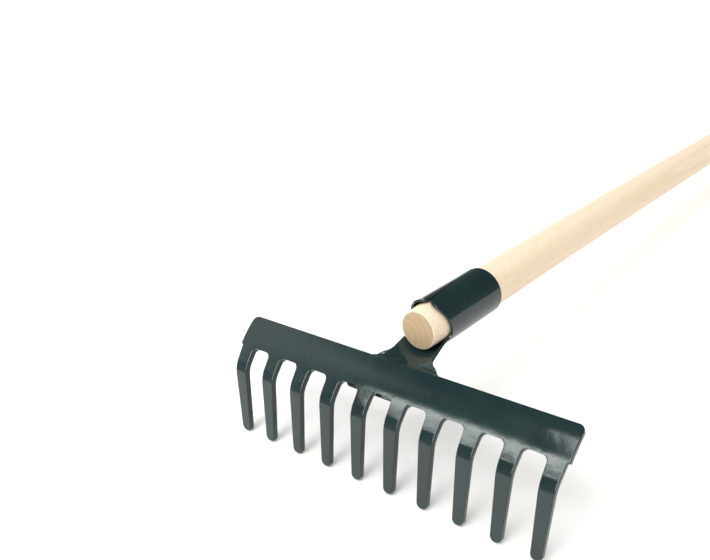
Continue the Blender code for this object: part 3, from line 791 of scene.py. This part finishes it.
class RAKE_OT_handle(bpy.types.Operator):
    """Turn the wooden handle: a round pole with a tapered foot, a slight bow and a rounded end"""

    bl_idname = "rake.handle"
    bl_label = "Handle"

    # Steps of the foot's chamfer, of the bowed length and of the rounded end, and sides of the pilot hole
    CHAMFER_STEPS = 3
    BOW_STEPS = 19
    END_STEPS = 8
    HOLE_SIDES = 20

    def execute(self, context):
        sizes = settings().handle
        stations = self.stations(sizes)
        y, radius = stations[0]
        handle = disc("turned_handle", sizes.sides, radius, (0, y, 0), (pi / 2, 0, 0))
        heading = 0
        for (y0, r0), (y1, r1) in zip(stations, stations[1:]):
            (x0, _), (x1, new_heading) = self.bow(sizes, y0), self.bow(sizes, y1)
            extrude(x1 - x0, y1 - y0, 0)
            resize(r1 / r0, r1 / r0, r1 / r0, (x1, y1, 0))
            if new_heading != heading:
                turn(heading - new_heading, "Z", (x1, y1, 0))
                heading = new_heading
        close(handle)
        screw = settings().fastenings
        drill(handle, "pilot_hole", self.HOLE_SIDES, screw.screw_length + screw.clearance)
        lay_down(handle)
        smooth(handle, 40)
        finish(handle, "handle", [turned_beech(), sawn_beech_end()])
        back = Matrix.Rotation(-LYING_TURN, 3, "X")
        for face in handle.data.polygons:
            middle = back @ (face.center - LYING_PLACE)
            face.material_index = 1 if middle.y < sizes.foot_y + TOUCH else 0
        return {"FINISHED"}

    def stations(self, sizes):
        """(Y, radius) from the foot's sawn face to the rounded upper end."""
        full = sizes.foot_y + sizes.length - sizes.end_radius
        gain = (sizes.radius - sizes.foot_radius) / sizes.taper
        stations = []
        for i in range(self.CHAMFER_STEPS + 1):
            angle = pi / 2 * i / self.CHAMFER_STEPS
            y = sizes.foot_chamfer * (1 - cos(angle))
            inset = sizes.foot_chamfer * (1 - sin(angle))
            stations.append((sizes.foot_y + y, sizes.foot_radius + gain * y - inset))
        stations.append((sizes.foot_y + sizes.taper, sizes.radius))
        for i in range(self.BOW_STEPS + 1):
            stations.append((sizes.straight_y + (full - sizes.straight_y) * i / self.BOW_STEPS, sizes.radius))
        for i in range(1, self.END_STEPS + 1):
            angle = pi / 2 * i / self.END_STEPS
            core = sizes.radius - sizes.end_radius
            stations.append((full + sizes.end_radius * sin(angle), core + sizes.end_radius * cos(angle)))
        return stations

    def bow(self, sizes, y):
        """How far the pole's middle stands to the right at y, and how far it has turned to the right there."""
        free = sizes.foot_y + sizes.length - sizes.straight_y
        bowed = max(y - sizes.straight_y, 0)
        return sizes.bow * (bowed / free) ** 2, 2 * sizes.bow * bowed / free ** 2


class RAKE_OT_fixing_screw(bpy.types.Operator):
    """Turn the fixing screw with its domed, slotted head and its threaded shank"""

    bl_idname = "rake.fixing_screw"
    bl_label = "Fixing Screw"

    SIDES = 40
    DOME_STEPS = 8
    # The thread, in metres
    PITCH = 0.001
    FLANK = 0.0004
    CREST = 0.0002
    PLAIN_SHANK = 0.0005
    POINT_RADIUS = 0.0002

    def execute(self, context):
        sizes = settings().fastenings
        seat = sizes.seat_z
        screw = disc("slotted_fixing_screw", self.SIDES, sizes.head_radius, (0, sizes.screw_y, seat))
        # The head: a short rim, then a dome
        dome = sizes.head_height / 2
        rings = [(-dome, sizes.head_radius)]
        for i in range(1, self.DOME_STEPS):
            angle = pi / 2 * i / self.DOME_STEPS
            rings.append((-dome * (1 + sin(angle)), sizes.head_radius * cos(angle)))
        self.pull(rings, sizes.head_radius, sizes)
        pick(screw, "FACE", lambda p: p.z > seat - TOUCH)
        bpy.ops.mesh.inset(thickness=sizes.head_radius - sizes.shank_radius)
        # The shank: a core with thread crests, and a point
        core = sizes.shank_radius - self.FLANK
        straight = sizes.screw_length - sizes.point_length
        rings = [(self.PLAIN_SHANK, sizes.shank_radius)]
        z = self.PITCH
        while z < straight - self.FLANK:
            crest = z + self.FLANK
            rings += [(z, core), (crest, sizes.shank_radius), (crest + self.CREST, sizes.shank_radius)]
            z += self.PITCH
        rings += [(straight, core), (sizes.screw_length, self.POINT_RADIUS)]
        self.pull(rings, sizes.shank_radius, sizes)
        close(screw)
        deselect()
        bpy.ops.mesh.primitive_cube_add(
            size=1, location=(0, sizes.screw_y, seat - sizes.head_height - sizes.slot))
        blade = context.object
        blade.scale = (sizes.head_radius * 3, sizes.slot, sizes.slot * 4)
        cut_out(screw, "slot", blade)
        lay_down(screw)
        smooth(screw, 35)
        finish(screw, "fixing_screw", [zinc_plated_steel()])
        return {"FINISHED"}

    def pull(self, rings, radius, sizes):
        """Pulls the selected round face out through (height, radius) rings, with heights from the screw's seat."""
        height = 0
        for next_height, next_radius in rings:
            extrude(0, 0, next_height - height)
            share = next_radius / radius
            resize(share, share, 1, (0, sizes.screw_y, sizes.seat_z + next_height))
            height, radius = next_height, next_radius


class RAKE_OT_weld_beads(bpy.types.Operator):
    """Lay the two rippled weld beads that join the socket's flange to the back of the tine bar"""

    bl_idname = "rake.weld_beads"
    bl_label = "Weld Beads"

    SIDES = 20
    LEAST_RIPPLES = 6
    # Shares of a bead's full radius at its ends and between two ripples
    END_SHARE = 0.62
    HOLLOW_SHARE = 0.88

    def execute(self, context):
        self.bead("rippled_weld_left", "weld_bead_left", -1)
        self.bead("rippled_weld_right", "weld_bead_right", 1)
        return {"FINISHED"}

    def bead(self, name, node, side):
        """One bead along the plate's curve, beside the flange's edge on that side."""
        sizes = settings().fastenings
        bar = settings().tine_bar
        socket = settings().socket
        radius, plate_centre = plate_curve()
        arm = radius - (bar.sheet + sizes.clearance + sizes.weld_radius)
        low = sizes.weld_inset if side < 0 else socket.corner_cut - socket.flange_drop + sizes.weld_inset
        length = bar.plate_depth - sizes.weld_inset - low
        centre = Vector((side * (socket.flange + sizes.clearance + sizes.weld_radius), *plate_centre))
        start = bar.top_slope + sizes.weld_inset / radius
        steps = max(self.LEAST_RIPPLES, round(length / sizes.ripple)) * 2
        step = length / radius / steps

        def place(angle):
            return centre + arm * Vector((0, -sin(angle), cos(angle)))

        share = self.END_SHARE
        bead = disc(name, self.SIDES, sizes.weld_radius * share, place(start), (pi / 2 + start, 0, 0))
        for i in range(1, steps + 1):
            extrude(0, 0, 0)
            turn(step, "X", centre)
            wanted = self.END_SHARE if i == steps else (1 if i % 2 else self.HOLLOW_SHARE)
            resize(wanted / share, wanted / share, wanted / share, place(start + step * i))
            share = wanted
        close(bead)
        lay_down(bead)
        smooth(bead, 60)
        finish(bead, node, [sprayed_green_enamel()])


def hang(name, data, place, azimuth, elevation):
    """A light at its place, shining from that azimuth, counted from the front, and that elevation."""
    azimuth, elevation = radians(azimuth), radians(elevation)
    away = Vector((sin(azimuth) * cos(elevation), -cos(azimuth) * cos(elevation), sin(elevation)))
    lamp = bpy.data.objects.new(name, data)
    bpy.context.scene.collection.objects.link(lamp)
    lamp.location = place
    lamp.rotation_euler = away.to_track_quat("Z", "Y").to_euler()
    lamp.visible_camera = False
    return lamp


class RAKE_OT_stage(bpy.types.Operator):
    """Set the pale floor, the soft studio lights and the camera"""

    bl_idname = "rake.stage"
    bl_label = "Stage"

    # Fitted to the photograph's close view, with the turn in degrees
    CAMERA_PLACE = (0.23704, -1.00076, 0.27827)
    CAMERA_TURN = (51.14548, 2.82973, 34.53467)
    # A sun shines the same from anywhere
    SUN_PLACE = (0, 0, 3)

    def execute(self, context):
        sizes = settings().stage
        deselect()
        bpy.ops.mesh.primitive_plane_add(size=sizes.floor_side, location=(0, 0, 0))
        floor = context.object
        floor.name = "floor"
        floor.data.materials.append(studio_floor_paint())
        self.sky()
        self.lights(sizes)
        self.camera(sizes)
        context.scene.view_settings.view_transform = "Standard"
        return {"FINISHED"}

    def sky(self):
        """A studio that is dim overhead and at the back, with a white wall along its left side."""
        world = bpy.data.worlds.new("studio")
        bpy.context.scene.world = world
        world.use_nodes = True
        tree = world.node_tree
        tree.nodes.clear()
        place = add_node(tree, "TexCoord").outputs["Generated"]
        way = add_node(tree, "SeparateXYZ", links={"Vector": place})
        level = add_node(tree, "VectorMath", {1: (1, 1, 0)}, {0: place}, operation="MULTIPLY")
        flat = add_node(tree, "VectorMath", links={0: level}, operation="NORMALIZE")
        side = add_node(tree, "SeparateXYZ", links={"Vector": flat})
        # The room dims towards the ceiling and the back. The wall spans the left side, up to 50 degrees
        room, back, across, up = (
            add_node(tree, "MapRange", zip(RANGE, limits), {"Value": source}, interpolation_type="SMOOTHSTEP")
            for source, limits in (
                (way.outputs["Z"], (0, 0.6, 0.4, 0.1)),
                (way.outputs["Y"], (0.35, 0.7, 1, 0.45)),
                (side.outputs["X"], (-0.74, -0.88, 0, 1)),
                (way.outputs["Z"], (0.81, 0.7, 0, 0.82)),
            ))
        dimmed = add_node(tree, "Math", links={0: room, 1: back}, operation="MULTIPLY")
        wall = add_node(tree, "Math", links={0: across, 1: up}, operation="MULTIPLY")
        strength = add_node(tree, "Math", links={0: dimmed, 1: wall}, operation="ADD")
        # The camera sees the studio's background as white as its floor
        seen = add_node(tree, "LightPath").outputs["Is Camera Ray"]
        shown = add_node(tree, "Math", links={0: strength, 1: seen}, operation="MAXIMUM")
        light = add_node(tree, "Background", {"Color": (1, 1, 1, 1)}, {"Strength": shown})
        add_node(tree, "OutputWorld", links={"Surface": light})

    def lights(self, sizes):
        """A soft key in front, an even light from above, and three softboxes that the paint reflects."""
        # Suns: angles in degrees, strength, and whether they light the pieces and are reflected in them
        for name, azimuth, elevation, width, power, lights, shows in (
            ("key", 6, 56, 30, 0.8, True, True),
            ("overhead", -20, 84, 160, 2.85, True, False),
            ("front_box", 14, 33, 44, 3.6, False, True),
        ):
            data = bpy.data.lights.new(name, "SUN")
            data.angle = radians(width)
            data.energy = power * sizes.power
            lamp = hang(name, data, self.SUN_PLACE, azimuth, elevation)
            lamp.visible_diffuse = lights
            lamp.visible_glossy = shows
        # Softboxes: place and size in metres, angles in degrees, power in watts
        for name, place, azimuth, elevation, width, height, power, tint in (
            ("strip", (-0.83, -1.96, 1.375), 0, 46.3, 0.98, 0.128, 4.3, (0.95, 1.0, 0.96)),
            ("end_box", (-0.1, -1.29, 1.064), 0, 90, 0.38, 0.4, 2.6, (0.95, 1.0, 0.98)),
        ):
            data = bpy.data.lights.new(name, "AREA")
            data.shape = "RECTANGLE"
            data.size = width
            data.size_y = height
            data.color = tint
            data.energy = power * sizes.power
            hang(name, data, place, azimuth, elevation)

    def camera(self, sizes):
        """The camera of the photograph's close view; its lens and shift are settings."""
        data = bpy.data.cameras.new("camera")
        data.lens = sizes.lens
        data.sensor_width = 36
        data.shift_x, data.shift_y = sizes.shift
        data.clip_start = 0.01
        view = bpy.data.objects.new("camera", data)
        bpy.context.scene.collection.objects.link(view)
        view.location = self.CAMERA_PLACE
        view.rotation_euler = [radians(angle) for angle in self.CAMERA_TURN]
        bpy.context.scene.camera = view


class GardenRake(bpy.types.PropertyGroup):
    tine_bar: PointerProperty(type=TineBarSizes)
    socket: PointerProperty(type=SocketSizes)
    handle: PointerProperty(type=HandleSizes)
    fastenings: PointerProperty(type=FasteningSizes)
    colours: PointerProperty(type=RakeColours)
    stage: PointerProperty(type=StageSizes)


class RAKE_PT_sidebar(bpy.types.Panel):
    """The rake's sizes, colours and operators in the 3D view's sidebar"""

    bl_idname = "RAKE_PT_sidebar"
    bl_label = "Garden Rake"
    bl_space_type = "VIEW_3D"
    bl_region_type = "UI"
    bl_category = "Garden Rake"

    def draw(self, context):
        for part, operators in (
            ("tine_bar", ("tine_bar",)),
            ("socket", ("socket",)),
            ("handle", ("handle",)),
            ("fastenings", ("fixing_screw", "weld_beads")),
            ("colours", ()),
            ("stage", ("stage",)),
        ):
            group = getattr(settings(), part)
            box = self.layout.box()
            box.label(text=part.replace("_", " ").capitalize())
            for name in group.bl_rna.properties.keys():
                if name not in ("rna_type", "name"):
                    box.prop(group, name)
            for operator in operators:
                box.operator("rake." + operator)


CLASSES = (
    TineBarSizes,
    SocketSizes,
    HandleSizes,
    FasteningSizes,
    RakeColours,
    StageSizes,
    GardenRake,
    RAKE_OT_tine_bar,
    RAKE_OT_socket,
    RAKE_OT_handle,
    RAKE_OT_fixing_screw,
    RAKE_OT_weld_beads,
    RAKE_OT_stage,
    RAKE_PT_sidebar,
)


def register():
    for made in CLASSES:
        bpy.utils.register_class(made)
    bpy.types.Scene.garden_rake = PointerProperty(type=GardenRake)


def unregister():
    del bpy.types.Scene.garden_rake
    for made in reversed(CLASSES):
        bpy.utils.unregister_class(made)


def main():
    register()
    bpy.ops.rake.tine_bar()
    bpy.ops.rake.socket()
    bpy.ops.rake.handle()
    bpy.ops.rake.fixing_screw()
    bpy.ops.rake.weld_beads()
    bpy.ops.rake.stage()


if __name__ == "__main__":
    main()
